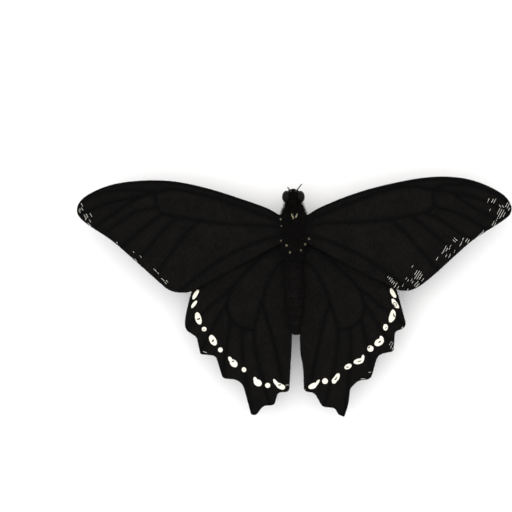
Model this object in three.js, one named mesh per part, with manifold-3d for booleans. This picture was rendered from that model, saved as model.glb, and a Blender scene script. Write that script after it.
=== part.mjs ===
// A swallowtail butterfly, dried with its wings spread flat, standing on its six legs.
// Millimetres, +X to the insect's right, +Y towards its head, +Z up, feet on z = 0.
// The origin is below the middle of the wings' span and length.
import * as THREE from 'three';
import { mergeVertices } from 'three/addons/utils/BufferGeometryUtils.js';
import Module from 'manifold-3d';

const wasm = await Module();
wasm.setup();

// Driving dimensions
const halfSpan = 50;
const wingThickness = 0.3;
const clearance = 0.3;
const mainVein = { height: 0.26, width: 0.38 };
const branchVein = { height: 0.2, width: 0.3 };
const veinStep = 6;
const prismHeight = 30;
const foreGrid = [7, 3];
const hindGrid = [5, 6];
const curveSteps = 3;

const bodyX = -0.1;
const bodyZ = 6.9;
const abdomenTipX = 0.42;
const abdomenTipZ = 6.5;
const headCentre = [-0.2, 23.3, 7.1];
const headRadii = [1.4, 1.7, 1.55];
const thoraxHeightScale = 0.95;
const soleRadius = 0.26;

// Pieces set in pairs: out is the distance to each side of the middle line
const wingBaseCover = { out: 1.75, y: 17.3, z: 8.6, radii: [1.15, 2.7, 1] };
const eyeBall = { out: 1.6, y: 23.2, z: 7.25, radii: [1.03, 1.4, 1.45] };
const palpBall = { out: 0.87, y: 24.2, z: 5.35, radii: [0.4, 0.65, 0.95] };
const antennaStub = {
  out: 0.55, y: 24.4, z: 8.1, lean: [0.62, 0.78, 0.3], rootRadius: 0.16, tipRadius: 0.13,
  length: { left: 1.3, right: 2.2 },
};
const backShield = { y: 11.6, z: 9.2, radii: [1.7, 1.5, 0.9] };
const tongue = { y: 24, z: 4.15, outer: 1, inner: 0.38, tube: 0.14, turns: 1.6, points: 16, steps: 20 };

// Heights of the wings' middle surfaces. out is the distance from the body's middle line.
const foreWing = { base: 8.9, rise: 0.05, droop: 1.6, arch: 0.004, archLine: 13, archSweep: 0.06 };
const hindWing = { base: 7.5, rise: 0.035, droop: 0.002, droopFrom: -8, fold: 0.8, foldWidth: 3 };

function foreHeight(x, y) {
  const out = Math.abs(x);
  const across = y - foreWing.archLine - foreWing.archSweep * out;
  const droop = foreWing.droop * (out / halfSpan) ** 3;
  return foreWing.base + foreWing.rise * out - droop - foreWing.arch * across ** 2;
}

function hindHeight(x, y) {
  const out = Math.abs(x);
  const behind = Math.min(0, y - hindWing.droopFrom);
  const fold = hindWing.fold * Math.exp(-((out / hindWing.foldWidth) ** 2));
  return hindWing.base + hindWing.rise * out - hindWing.droop * behind ** 2 - fold;
}

// Wing outlines. A corner is [x, y, reach]: the edge turns there in a curve that starts and ends
// that far from the corner, or half-way along each edge where no reach is given.
const foreLeftOutline = [
  [-1.2, 17.4, 0], [-6, 20.75], [-13, 23.1], [-19.9, 25.35], [-28.2, 27.1], [-35.9, 27.1],
  [-42.6, 26.15], [-48.2, 23.6], [-50.15, 21.3], [-50.15, 18.9], [-47.9, 16.75], [-42.1, 13.15, 3],
  [-28.5, 1, 2.2], [-24.2, 0.95, 1.2], [-14, 6.5], [-1.2, 13.4, 0],
];
const foreRightOutline = [
  [1.2, 17.6, 0], [5.4, 20.75], [13.1, 23.85], [19.3, 25.75], [30, 27.95], [37.8, 27.95],
  [43.3, 26.5], [48.5, 23.8], [50.1, 21.25], [50.1, 19.8], [49.3, 18.25], [41.9, 13.7],
  [39.2, 11.55], [30.65, 3.55], [26.9, 1.3], [24.2, 1.45, 1], [14, 6.5], [1.2, 13.4, 0],
];
const hindLeftOutline = [
  [-1.2, 12.8, 0], [-8, 13], [-15, 11], [-21, 6.6], [-23.1, 4], [-25.35, -4.2], [-25.3, -7.5, 1.2],
  [-22.6, -9.25, 0.6], [-21.75, -13.2, 0.5], [-18.2, -13.6, 0.8], [-16.6, -18.8, 0.9],
  [-13.3, -19.1, 1], [-11.9, -20.3, 1.2], [-10.4, -25.9, 1], [-10.1, -27.25, 1.1], [-8.7, -27.35, 0.7],
  [-7.1, -25.15, 0.9], [-4.5, -25.05, 0.9], [-3.65, -22.1, 0.7], [-1, -21.95, 1.1],
  [-0.75, -16.5, 3], [-0.38, -10, 2], [-0.4, 5, 0],
];
const hindRightOutline = [
  [1.2, 12.8, 0], [8, 13], [15, 11], [21, 6.6], [23.1, 4.3], [26.1, -6.85, 1.5],
  [23.35, -8, 0.6], [23, -12.6, 0.9], [19.4, -13.25, 1.4], [17.75, -19.05, 1.3],
  [14.9, -19.25, 1], [13.05, -21.05, 0.6], [12.6, -25, 1.5], [11.6, -27.75, 0.3], [10.2, -27.25, 0.5],
  [9.25, -25.7, 0.4], [6.4, -25.4, 0.9], [5.3, -23.4, 0.5], [4.6, -22.2, 0.7], [2.1, -21.8, 1],
  [1.98, -16.2, 2], [1.25, -12.9, 1.2], [1.2, -8, 0], [1, 5, 0],
];

// Veins as points [x, y] from the wing's base outwards, the main ones first.
const foreLeftVeins = {
  main: [
    [[-2, 17.6], [-6, 20.2], [-13, 22.7], [-20, 24.85], [-28, 26.5], [-35, 26.7], [-42, 25.6]],
    [[-2, 17.3], [-9, 19.6], [-16, 22.2], [-22, 23.9], [-28, 24.9], [-32.2, 24.1]],
    [[-2, 16.2], [-8, 16.7], [-16, 17], [-24, 18], [-30.4, 19.2]],
  ],
  branch: [
    [[-31.6, 24.3], [-35, 24.8], [-40, 24.75], [-45.5, 23.9], [-49.4, 21.6]],
    [[-31.8, 24.1], [-40, 22.4], [-45, 20.9], [-51, 18.2]],
    [[-35.2, 23.3], [-38.5, 21.4], [-43, 18.3], [-47.6, 15.2]],
    [[-32.1, 24.3], [-31.7, 21.6], [-30.5, 19]],
    [[-31.6, 20.9], [-36, 19.9], [-39, 18.2], [-45.4, 13.4]],
    [[-30, 19.3], [-33.5, 16.9], [-41.4, 10.2]],
    [[-26.9, 18.6], [-30, 15.6], [-37.6, 6.8]],
    [[-21.4, 17.9], [-25, 14.6], [-33.4, 3.4]],
    [[-2, 14.8], [-10, 12.2], [-18, 8], [-27.6, 0.6]],
  ],
};
const foreRightVeins = {
  main: [
    [[2, 17.8], [5.4, 20.2], [13, 23.4], [20, 25.3], [28, 26.95], [35, 27.4], [42, 26.3]],
    [[2, 17.4], [9, 20.2], [16, 23], [22, 24.9], [27, 25.6], [31.7, 24.9]],
    [[2, 16.3], [8, 17.2], [15, 17.4], [22, 18.1], [30.2, 19.5]],
  ],
  branch: [
    [[31.1, 24.8], [35, 26], [41, 25.8], [46, 24], [49.6, 21.6]],
    [[31.4, 24.9], [37, 24.1], [44, 22.2], [51, 18.9]],
    [[36.2, 24.2], [39.5, 21.8], [43.5, 19.4], [50, 16.4]],
    [[31.8, 25.1], [32, 21.3], [30.3, 19.3]],
    [[32.2, 21], [37.5, 19.4], [41, 17.6], [46.6, 14.2]],
    [[29.9, 19.6], [33.5, 18], [37, 15.6], [43.2, 11.6]],
    [[26.6, 18.8], [30, 16.4], [39.4, 8.4]],
    [[22, 18.1], [25.6, 14.8], [34.8, 4.2]],
    [[2, 14.8], [10, 12.2], [18, 8], [28, 0.8]],
  ],
};
const hindLeftVeins = {
  main: [
    [[-1.5, 11.4], [-8, 11.6], [-14, 8.6], [-20, 3.6], [-26, -2.6]],
    [[-1.5, 9.6], [-5, 5.6], [-7.6, -1], [-9.4, -7.6]],
  ],
  branch: [
    [[-5, 11.4], [-10, 7], [-14, 2.6], [-15.6, -1.6]],
    [[-14, 2.6], [-19, -1.8], [-26.2, -7.8]],
    [[-15.5, -1.2], [-18.6, -6.6], [-22.4, -14]],
    [[-15.7, -1.3], [-14.6, -5], [-12, -7], [-9.2, -7.5]],
    [[-14.6, -5], [-15.6, -11], [-16.9, -19.8]],
    [[-12, -7], [-11.8, -14], [-9.6, -28]],
    [[-9.3, -7.1], [-8.6, -14], [-5.2, -26]],
    [[-7.6, -1], [-5.4, -8], [-3.6, -15], [-2, -22.6]],
  ],
};
const hindRightVeins = {
  main: [
    [[1.5, 11.4], [8, 11.6], [14, 8.6], [20, 3.6], [26.4, -2.6]],
    [[1.5, 9.6], [5.2, 5.6], [8.2, -1], [10.2, -7.6]],
  ],
  branch: [
    [[5, 11.4], [10, 7], [14.4, 2.6], [16.2, -1.6]],
    [[14.4, 2.6], [19.4, -1.6], [27, -7.4]],
    [[16.1, -1.2], [19.4, -6.4], [24, -13.4]],
    [[16.3, -1.3], [15.4, -5], [12.8, -7], [10, -7.5]],
    [[15.4, -5], [16.8, -11], [18.6, -20]],
    [[12.8, -7], [13, -14], [11.5, -28.6]],
    [[10.1, -7.1], [9.6, -14], [6.6, -26.4]],
    [[8.2, -1], [6.2, -8], [4.8, -15], [3, -22.8]],
  ],
};

// Lengthwise profiles [radius, y] from the rear to the front
const thoraxProfile = [
  [0, 8.75], [1.5, 8.8], [2.4, 9.6], [3, 11], [3.4, 13.2], [3.5, 15.2], [3.35, 17.2],
  [2.95, 18.9], [2.45, 20], [2.05, 20.8], [1.85, 21.35], [0, 21.4],
];
const abdomenFrontY = 8.3;
const abdomenTipY = -8.3;
const abdomenRings = [1.6, 2.1, 2.35, 2.4, 2.3, 2.1, 1.8, 1.4, 0.9];
const ringWaist = 0.93;
const ringCrest = 0.4;
const endInset = 0.05;

// Legs of the right side, from the hip to the toe
const legs = {
  leg_front: { hip: [1.1, 18, 4.4], knee: [4.8, 19, 5.7], ankle: [7.6, 18.6], toe: [10.4, 18.9] },
  leg_middle: { hip: [1.4, 14.3, 3.9], knee: [5.6, 13.4, 6], ankle: [9.2, 12.2], toe: [12.4, 11.6] },
  leg_hind: { hip: [1.3, 11, 4.2], knee: [5.2, 7.8, 6], ankle: [7.8, 2.6], toe: [9.4, -0.8] },
};
const legRadii = { hip: 0.5, knee: 0.36, ankle: 0.24, joint: 1.18 };
const sides = [['left', -1], ['right', 1]];

const materials = {
  wing: new THREE.MeshStandardMaterial({ color: 0x0b0a09, roughness: 0.85, metalness: 0 }),
  hair: new THREE.MeshStandardMaterial({ color: 0x0d0b0a, roughness: 0.9, metalness: 0 }),
  eye: new THREE.MeshStandardMaterial({ color: 0x17100a, roughness: 0.25, metalness: 0 }),
  leg: new THREE.MeshStandardMaterial({ color: 0x14100d, roughness: 0.6, metalness: 0 }),
  feeler: new THREE.MeshStandardMaterial({ color: 0x6b5c3a, roughness: 0.6, metalness: 0 }),
};

// Geometry and solids
function toSolid(geometry) {
  const bare = geometry.index ? geometry.clone() : geometry;
  bare.deleteAttribute('normal');
  bare.deleteAttribute('uv');
  const merged = mergeVertices(bare, 1e-4);
  return new wasm.Manifold(new wasm.Mesh({
    numProp: 3,
    vertProperties: new Float32Array(merged.attributes.position.array),
    triVerts: new Uint32Array(merged.index.array),
  }));
}

function toMesh(name, solid, material) {
  const { vertProperties, triVerts } = solid.getMesh();
  const geometry = new THREE.BufferGeometry();
  geometry.setAttribute('position', new THREE.BufferAttribute(vertProperties, 3));
  geometry.setIndex(new THREE.BufferAttribute(triVerts, 1));
  geometry.computeVertexNormals();
  const mesh = new THREE.Mesh(geometry, material);
  mesh.name = name;
  return mesh;
}

function moveVertices(geometry, move) {
  const position = geometry.attributes.position;
  const point = new THREE.Vector3();
  for (let i = 0; i < position.count; i += 1) {
    point.fromBufferAttribute(position, i);
    move(point);
    position.setXYZ(i, point.x, point.y, point.z);
  }
  return geometry;
}

function softPolygon(corners) {
  const shape = new THREE.Shape();
  corners.forEach(([x, y, reach = Infinity], i) => {
    const corner = new THREE.Vector2(x, y);
    const [start, end] = [-1, 1].map((step) => {
      const next = corners.at((i + step) % corners.length);
      const edge = new THREE.Vector2(next[0] - x, next[1] - y);
      return corner.clone().add(edge.setLength(Math.min(reach, edge.length() / 2)));
    });
    if (i === 0) {
      shape.moveTo(start.x, start.y);
    } else if (shape.currentPoint.distanceTo(start) > 0.01) {
      shape.lineTo(start.x, start.y);
    }
    if (reach > 0) {
      shape.quadraticCurveTo(x, y, end.x, end.y);
    }
  });
  return shape;
}

// A vein is a low roof on the upper face: a lozenge, half sunk, drawn along the vein's path
function veinRidge(points, vein, height) {
  const lozenge = new THREE.Shape([
    new THREE.Vector2(vein.height, 0), new THREE.Vector2(0, vein.width),
    new THREE.Vector2(-vein.height, 0), new THREE.Vector2(0, -vein.width),
  ]);
  const path = new THREE.CatmullRomCurve3(points.map(
    ([x, y]) => new THREE.Vector3(x, y, height(x, y) + wingThickness / 2),
  ));
  const steps = Math.max(2, Math.round(path.getLength() / veinStep));
  return toSolid(new THREE.ExtrudeGeometry(lozenge, { steps, extrudePath: path }));
}

function wing(outline, veins, height, grid, body) {
  const shape = softPolygon(outline);
  const prism = new THREE.ExtrudeGeometry(shape, {
    depth: prismHeight, bevelEnabled: false, curveSegments: curveSteps,
  });
  const box = new THREE.Box2().setFromPoints(shape.getPoints(curveSteps));
  const size = box.getSize(new THREE.Vector2()).addScalar(1);
  const centre = box.getCenter(new THREE.Vector2());
  const slab = new THREE.BoxGeometry(size.x, size.y, wingThickness, grid[0], grid[1], 1);
  moveVertices(slab, (point) => {
    point.x += centre.x;
    point.y += centre.y;
    point.z += height(point.x, point.y);
  });
  let solid = toSolid(slab);
  veins.main.forEach((points) => {
    solid = solid.add(veinRidge(points, mainVein, height));
  });
  veins.branch.forEach((points) => {
    solid = solid.add(veinRidge(points, branchVein, height));
  });
  return solid.intersect(toSolid(prism)).subtract(body);
}

// A round body along Y, widened by grow, whose middle line runs through the points from and to
function spindle(profile, roundSteps, grow, heightScale, from, to) {
  const low = profile[0][1];
  const high = profile[profile.length - 1][1];
  const points = profile.map(([radius, y], i) => {
    const atEnd = i === 0 || i === profile.length - 1;
    const push = y > (low + high) / 2 ? grow : -grow;
    const nearEnd = Math.min(y - low, high - y) < 2 * endInset;
    return new THREE.Vector2(atEnd ? 0 : radius + grow, nearEnd ? y + push : y);
  });
  return moveVertices(new THREE.LatheGeometry(points, roundSteps), (point) => {
    const along = (point.y - low) / (high - low);
    point.x += THREE.MathUtils.lerp(from[0], to[0], along);
    point.z = point.z * heightScale + THREE.MathUtils.lerp(from[1], to[1], along);
  });
}

function ball(centre, radii, grow = 0, across = 12, down = 8) {
  const geometry = new THREE.SphereGeometry(1, across, down);
  geometry.scale(radii[0] + grow, radii[1] + grow, radii[2] + grow);
  geometry.translate(...centre);
  return toSolid(geometry);
}

function beside(middleX, side, { out, y, z }) {
  return [middleX + out * side, y, z];
}

function thorax(grow) {
  const middle = [bodyX, bodyZ];
  let solid = toSolid(spindle(thoraxProfile, 16, grow, thoraxHeightScale, middle, middle));
  sides.forEach(([, side]) => {
    solid = solid.add(ball(beside(bodyX, side, wingBaseCover), wingBaseCover.radii, grow, 8, 6));
  });
  const { y, z, radii } = backShield;
  return solid.add(ball([bodyX, y, z], radii, grow, 8, 6));
}

function abdomen(grow) {
  const length = abdomenFrontY - abdomenTipY;
  const step = length / (abdomenRings.length - 1);
  const profile = [[0, abdomenTipY]];
  abdomenRings.toReversed().forEach((radius, i) => {
    const y = abdomenTipY + i * step;
    const atEnd = i === 0 || i === abdomenRings.length - 1;
    const inset = i === 0 ? endInset : -endInset;
    profile.push([atEnd ? radius : radius * ringWaist, y + inset]);
    if (i < abdomenRings.length - 1) {
      profile.push([(radius + abdomenRings.at(-2 - i)) / 2, y + step * ringCrest]);
    }
  });
  profile.push([0, abdomenFrontY]);
  return toSolid(spindle(profile, 12, grow, 1, [abdomenTipX, abdomenTipZ], [bodyX, bodyZ]));
}

function head(grow) {
  return ball(headCentre, headRadii, grow);
}

function rod(from, to, radiusFrom, radiusTo) {
  const start = new THREE.Vector3(...from);
  const line = new THREE.Vector3(...to).sub(start);
  const geometry = new THREE.CylinderGeometry(
    radiusTo, radiusFrom, line.length(), 6, 1, false, Math.PI / 6,
  );
  geometry.translate(0, line.length() / 2, 0);
  const turn = new THREE.Quaternion().setFromUnitVectors(
    new THREE.Vector3(0, 1, 0), line.clone().normalize(),
  );
  geometry.applyQuaternion(turn);
  geometry.translate(...from);
  return toSolid(geometry);
}

function knob(centre, radius) {
  const geometry = new THREE.IcosahedronGeometry(radius, 0);
  geometry.translate(...centre);
  return toSolid(geometry);
}

function leg({ hip, knee, ankle, toe }, side) {
  const soleHeight = soleRadius * Math.cos(Math.PI / 6);
  const mirrored = ([x, y, z = soleHeight]) => [bodyX + side * x, y, z];
  const [a, b, c, d] = [hip, knee, ankle, toe].map(mirrored);
  return rod(a, b, legRadii.hip, legRadii.knee)
    .add(rod(b, c, legRadii.knee, legRadii.ankle))
    .add(rod(c, d, soleRadius, soleRadius))
    .add(knob(b, legRadii.knee * legRadii.joint))
    .subtract(thorax(clearance));
}

function proboscis() {
  const points = [];
  for (let i = 0; i <= tongue.points; i += 1) {
    const along = i / tongue.points;
    const angle = Math.PI / 2 - along * tongue.turns * 2 * Math.PI;
    const radius = THREE.MathUtils.lerp(tongue.outer, tongue.inner, along);
    points.push(new THREE.Vector3(
      headCentre[0], tongue.y + radius * Math.cos(angle), tongue.z + radius * Math.sin(angle),
    ));
  }
  const section = new THREE.Shape().absarc(0, 0, tongue.tube, 0, 2 * Math.PI);
  return toSolid(new THREE.ExtrudeGeometry(section, {
    steps: tongue.steps, curveSegments: 3, extrudePath: new THREE.CatmullRomCurve3(points),
  }));
}

function antenna(name, side) {
  const { lean, length, rootRadius, tipRadius } = antennaStub;
  const root = beside(headCentre[0], side, antennaStub);
  const run = [lean[0] * side, lean[1], lean[2]];
  const tip = root.map((value, i) => value + run[i] * length[name]);
  return rod(root, tip, rootRadius, tipRadius);
}

const group = new THREE.Group();
const addPiece = (name, solid, material) => group.add(toMesh(name, solid, materials[material]));

const fullBody = thorax(clearance).add(abdomen(clearance));
addPiece('head', head(0), 'hair');
addPiece('thorax', thorax(0), 'hair');
addPiece('abdomen', abdomen(0), 'hair');
addPiece('proboscis', proboscis(), 'feeler');
addPiece('forewing_left', wing(foreLeftOutline, foreLeftVeins, foreHeight, foreGrid, fullBody), 'wing');
addPiece('forewing_right', wing(foreRightOutline, foreRightVeins, foreHeight, foreGrid, fullBody), 'wing');
addPiece('hindwing_left', wing(hindLeftOutline, hindLeftVeins, hindHeight, hindGrid, fullBody), 'wing');
addPiece('hindwing_right', wing(hindRightOutline, hindRightVeins, hindHeight, hindGrid, fullBody), 'wing');

sides.forEach(([name, side]) => {
  const eye = (grow) => ball(beside(headCentre[0], side, eyeBall), eyeBall.radii, grow, 10, 8);
  const headAndEye = head(clearance).add(eye(clearance));
  const palp = ball(beside(headCentre[0], side, palpBall), palpBall.radii, 0, 8, 6);
  addPiece(`eye_${name}`, eye(0).subtract(head(clearance)), 'eye');
  addPiece(`palp_${name}`, palp.subtract(headAndEye), 'hair');
  addPiece(`antenna_${name}`, antenna(name, side).subtract(headAndEye), 'feeler');
  Object.entries(legs).forEach(([legName, points]) => {
    addPiece(`${legName}_${name}`, leg(points, side), 'leg');
  });
});

export default group;
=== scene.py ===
import math

import bmesh
import bpy
import numpy as np
from mathutils import Matrix, Vector
from mathutils.bvhtree import BVHTree
from mathutils.kdtree import KDTree


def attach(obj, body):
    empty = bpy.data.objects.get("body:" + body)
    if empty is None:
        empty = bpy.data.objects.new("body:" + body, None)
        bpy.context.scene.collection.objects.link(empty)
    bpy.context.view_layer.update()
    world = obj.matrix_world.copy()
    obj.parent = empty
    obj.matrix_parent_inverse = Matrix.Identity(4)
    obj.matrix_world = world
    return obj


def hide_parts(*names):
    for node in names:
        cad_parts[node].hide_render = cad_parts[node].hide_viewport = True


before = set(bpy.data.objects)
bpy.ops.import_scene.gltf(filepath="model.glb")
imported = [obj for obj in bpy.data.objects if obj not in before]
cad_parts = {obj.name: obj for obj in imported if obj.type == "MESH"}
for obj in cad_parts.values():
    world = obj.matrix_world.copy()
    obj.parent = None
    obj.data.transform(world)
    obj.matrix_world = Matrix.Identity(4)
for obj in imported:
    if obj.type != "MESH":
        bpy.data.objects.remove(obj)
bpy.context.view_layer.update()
mm = 0.001  # everything is modelled in millimetres and written in metres
print("frame loaded")

# View
photoView = {
    "centre": (-8.825, 9.54),  # the point under the middle of the picture
    "width": 117.97,  # what the picture shows across
    "height": 700,
    "wingLevel": 8.5,
}
studio = {
    "floorSize": 3.0,
    "floorColour": (0.92, 0.915, 0.905, 1),
    "worldColour": (0.97, 0.98, 1.0, 1),
    "worldStrength": 1.0,
    # name: place, aimed at, size, power, colour
    "lamps": {
        "topLamp": ((-0.14, 0.12, 0.5), (0, 0, 0), 0.7, 1.6, (1.0, 0.985, 0.96)),
        "sideLamp": ((0.36, 0.3, 0.22), (0, 0, 0.005), 0.3, 0.5, (1.0, 0.97, 0.93)),
        "frontLamp": ((-0.25, -0.38, 0.24), (0, 0, 0.005), 0.35, 0.4, (0.93, 0.96, 1.0)),
    },
}


# Node helpers
def addNode(tree, kind, inputs=(), **settings):
    made = tree.nodes.new("ShaderNode" + kind)
    for name, value in settings.items():
        setattr(made, name, value)
    pairs = inputs.items() if isinstance(inputs, dict) else enumerate(inputs)
    for key, value in pairs:
        if isinstance(value, bpy.types.NodeSocket):
            tree.links.new(value, made.inputs[key])
        elif value is not None:
            made.inputs[key].default_value = value
    return made


def calc(tree, operation, *values):
    return addNode(tree, "Math", values, operation=operation).outputs[0]


def vectorCalc(tree, operation, *values):
    return addNode(tree, "VectorMath", values, operation=operation).outputs[0]


def remap(tree, value, low, high, lowest=0.0, highest=1.0):
    inputs = (value, low, high, lowest, highest)
    made = addNode(tree, "MapRange", inputs, interpolation_type="SMOOTHSTEP")
    return made.outputs[0]


def mixColours(tree, factor, first, second, mode="MIX"):
    inputs = {0: factor, 6: first, 7: second}
    return addNode(tree, "Mix", inputs, data_type="RGBA", blend_type=mode).outputs[2]


def turnAboutZ(tree, vector, angle):
    inputs = {"Vector": vector, "Angle": angle}
    return addNode(tree, "VectorRotate", inputs, rotation_type="Z_AXIS").outputs[0]


def noiseValue(tree, vector, scale, detail=2.0, roughness=0.5):
    inputs = {"Vector": vector, "Scale": scale, "Detail": detail, "Roughness": roughness}
    return addNode(tree, "TexNoise", inputs).outputs["Fac"]


def startGroup(name, inputs, outputs):
    group = bpy.data.node_groups.new(name, "ShaderNodeTree")
    for label, kind, value in inputs:
        socket = group.interface.new_socket(
            label, in_out="INPUT", socket_type="NodeSocket" + kind)
        if value is not None:
            socket.default_value = value
    for label, kind in outputs:
        group.interface.new_socket(label, in_out="OUTPUT", socket_type="NodeSocket" + kind)
    given, out = (group.nodes.new("NodeGroup" + end) for end in ("Input", "Output"))
    return group, given.outputs, out.inputs


def useGroup(tree, group, inputs):
    return addNode(tree, "Group", inputs, node_tree=group).outputs[0]


def startMaterial(name, **settings):
    material = bpy.data.materials.new(name)
    material.use_nodes = True
    tree = material.node_tree
    shader = tree.nodes["Principled BSDF"]
    for label, value in settings.items():
        shader.inputs[label.replace("_", " ")].default_value = value
    place = addNode(tree, "TexCoord").outputs["Object"]
    point = addNode(tree, "VectorMath", {0: place, "Scale": 1 / mm}, operation="SCALE").outputs[0]
    return material, tree, shader, point


def finishShader(tree, shader, colour, roughness, bump=None):
    tree.links.new(colour, shader.inputs["Base Color"])
    tree.links.new(roughness, shader.inputs["Roughness"])
    if bump is not None:
        height, depth, strength = bump
        inputs = {"Strength": strength, "Distance": depth * mm, "Height": height}
        tree.links.new(addNode(tree, "Bump", inputs).outputs[0], shader.inputs["Normal"])


def readAttribute(tree, name):
    return addNode(tree, "Attribute", attribute_name=name).outputs["Fac"]


# One patch of pale scales: an oval, bent and with a ragged edge
def makePatchGroup():
    group, given, out = startGroup("patchMask", [
        ("Point", "Vector", None), ("Centre", "Vector", (0, 0, 0)), ("Turn", "Float", 0.0),
        ("Size", "Vector", (1, 1, 1)), ("Bend", "Float", 0.0), ("Ragged", "Float", 0.0),
    ], [("Mask", "Float")])
    offset = vectorCalc(group, "SUBTRACT", given["Point"], given["Centre"])
    back = calc(group, "MULTIPLY", given["Turn"], -1.0)
    place = addNode(group, "SeparateXYZ", [turnAboutZ(group, offset, back)]).outputs
    size = addNode(group, "SeparateXYZ", [given["Size"]]).outputs
    along = calc(group, "DIVIDE", place[0], size[0])
    alongSquared = calc(group, "MULTIPLY", along, along)
    across = calc(group, "SUBTRACT", place[1], calc(group, "MULTIPLY", alongSquared, given["Bend"]))
    across = calc(group, "DIVIDE", across, size[1])
    far = calc(group, "SQRT", calc(group, "MULTIPLY_ADD", across, across, alongSquared))
    far = calc(group, "ADD", far, given["Ragged"])
    group.links.new(remap(group, far, 1.07, 0.93), out["Mask"])
    return group


# Fine rows and strokes of scales that lie along one direction
def makeStrokeGroup():
    group, given, out = startGroup("scaleStrokes", [
        ("Point", "Vector", None), ("Turn", "Float", 0.0), ("Fineness", "Vector", (8, 1.2, 1)),
        ("Detail", "Float", 3.0),
    ], [("Value", "Float")])
    turned = turnAboutZ(group, given["Point"], given["Turn"])
    scaled = vectorCalc(group, "MULTIPLY", turned, given["Fineness"])
    group.links.new(noiseValue(group, scaled, 1.0, given["Detail"], 0.62), out["Value"])
    return group


# Worn and dusty places: cloudy, broken up by a finer noise
def makeWearGroup():
    group, given, out = startGroup("wornPlaces", [
        ("Point", "Vector", None), ("Scale", "Float", 0.3), ("Amount", "Float", 0.4),
    ], [("Mask", "Float")])
    cloud = noiseValue(group, given["Point"], given["Scale"], 3.0, 0.6)
    closer = vectorCalc(group, "MULTIPLY", given["Point"], (5, 5, 5))
    fine = noiseValue(group, closer, given["Scale"], 4.0, 0.7)
    mixed = calc(group, "MULTIPLY_ADD", fine, 0.5, calc(group, "MULTIPLY", cloud, 0.7))
    edge = calc(group, "SUBTRACT", 1.0, calc(group, "MULTIPLY", given["Amount"], 0.7))
    group.links.new(remap(group, mixed, edge, calc(group, "ADD", edge, 0.25)), out["Mask"])
    return group


patchGroup = makePatchGroup()
strokeGroup = makeStrokeGroup()
wearGroup = makeWearGroup()


# Mesh helpers
def smoothPath(points, spacing):
    points = [Vector(p) for p in points]
    ends = [2 * points[0] - points[1]] + points + [2 * points[-1] - points[-2]]
    path = []
    for a, b, c, d in zip(ends, ends[1:], ends[2:], ends[3:]):
        steps = max(1, round((c - b).length / spacing))
        for k in range(steps):
            t = k / steps
            bend = (2 * a - 5 * b + 4 * c - d) * t ** 2 + (3 * b - a - 3 * c + d) * t ** 3
            path.append((2 * b + (c - a) * t + bend) / 2)
    return path + [points[-1]]


def sweepTube(bm, path, radii, sides, squash=(1, 1)):
    path = [Vector(p) for p in path]
    ring = bmesh.ops.create_circle(bm, cap_ends=True, segments=sides, radius=1)["verts"]
    # each edge once, in a fixed order
    edges = list(dict.fromkeys(e for v in ring for e in v.link_edges))
    placed = Matrix()
    turn = Matrix.Rotation(0, 3, "Z")
    tangent = Vector((0, 0, 1))
    for i, (point, radius) in enumerate(zip(path, radii)):
        if i > 0:
            made = bmesh.ops.extrude_edge_only(bm, edges=edges)["geom"]
            ring = [g for g in made if isinstance(g, bmesh.types.BMVert)]
            edges = [g for g in made if isinstance(g, bmesh.types.BMEdge)]
        ahead = path[min(i + 1, len(path) - 1)] - path[max(i - 1, 0)]
        ahead.normalize()
        turn = tangent.rotation_difference(ahead).to_matrix() @ turn
        tangent = ahead
        size = Matrix.Diagonal((radius * squash[0], radius * squash[1], radius, 1))
        here = Matrix.Translation(point) @ turn.to_4x4() @ size
        bmesh.ops.transform(bm, matrix=here @ placed.inverted(), verts=ring)
        placed = here
    bmesh.ops.contextual_create(bm, geom=edges)


def addBall(bm, centre, radii, subdivisions=3):
    place = Matrix.Translation(centre) @ Matrix.Diagonal((*radii, 1))
    bmesh.ops.create_icosphere(bm, subdivisions=subdivisions, radius=1, matrix=place)


def finishMesh(name, bm, material):
    bmesh.ops.recalc_face_normals(bm, faces=bm.faces)
    bmesh.ops.scale(bm, vec=(mm, mm, mm), verts=bm.verts)
    mesh = bpy.data.meshes.new(name)
    bm.to_mesh(mesh)
    bm.free()
    return finishObject(name, mesh, material)


def finishObject(name, mesh, material):
    mesh.polygons.foreach_set("use_smooth", [True] * len(mesh.polygons))
    mesh.materials.append(material)
    piece = bpy.data.objects.new(name, mesh)
    bpy.context.scene.collection.objects.link(piece)
    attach(piece, "root")
    return piece


def writeAttribute(mesh, name, values):
    attribute = mesh.attributes.new(name, "FLOAT", "POINT")
    attribute.data.foreach_set("value", np.asarray(values, dtype=np.float32))


def meshPoints(mesh):
    points = np.empty(len(mesh.vertices) * 3, dtype=np.float32)
    mesh.vertices.foreach_get("co", points)
    return points.reshape(-1, 3) / mm


def cadTree(*nodes):
    bm = bmesh.new()
    for node in nodes:
        bm.from_mesh(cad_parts[node].data)
    bmesh.ops.scale(bm, vec=(1 / mm, 1 / mm, 1 / mm), verts=bm.verts)
    tree = BVHTree.FromBMesh(bm)
    bm.free()
    return tree


# Hair
def hairShape():
    bm = bmesh.new()
    bmesh.ops.create_cone(bm, cap_ends=True, cap_tris=True, segments=3,
                          radius1=1, radius2=0, depth=1)
    bmesh.ops.remove_doubles(bm, verts=bm.verts, dist=1e-4)
    bmesh.ops.translate(bm, vec=(0, 0, 0.5), verts=bm.verts)
    bmesh.ops.bisect_plane(bm, geom=bm.verts[:] + bm.edges[:] + bm.faces[:],
                           plane_co=(0, 0, 0.55), plane_no=(0, 0, 1))
    bmesh.ops.triangulate(bm, faces=bm.faces)
    bmesh.ops.recalc_face_normals(bm, faces=bm.faces)
    bm.verts.index_update()
    verts = np.array([v.co for v in bm.verts])
    faces = np.array([[v.index for v in f.verts] for f in bm.faces])
    bm.free()
    return verts, faces


hairVerts, hairFaces = hairShape()


def unit(vectors):
    return vectors / np.maximum(np.linalg.norm(vectors, axis=1, keepdims=True), 1e-9)


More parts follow.
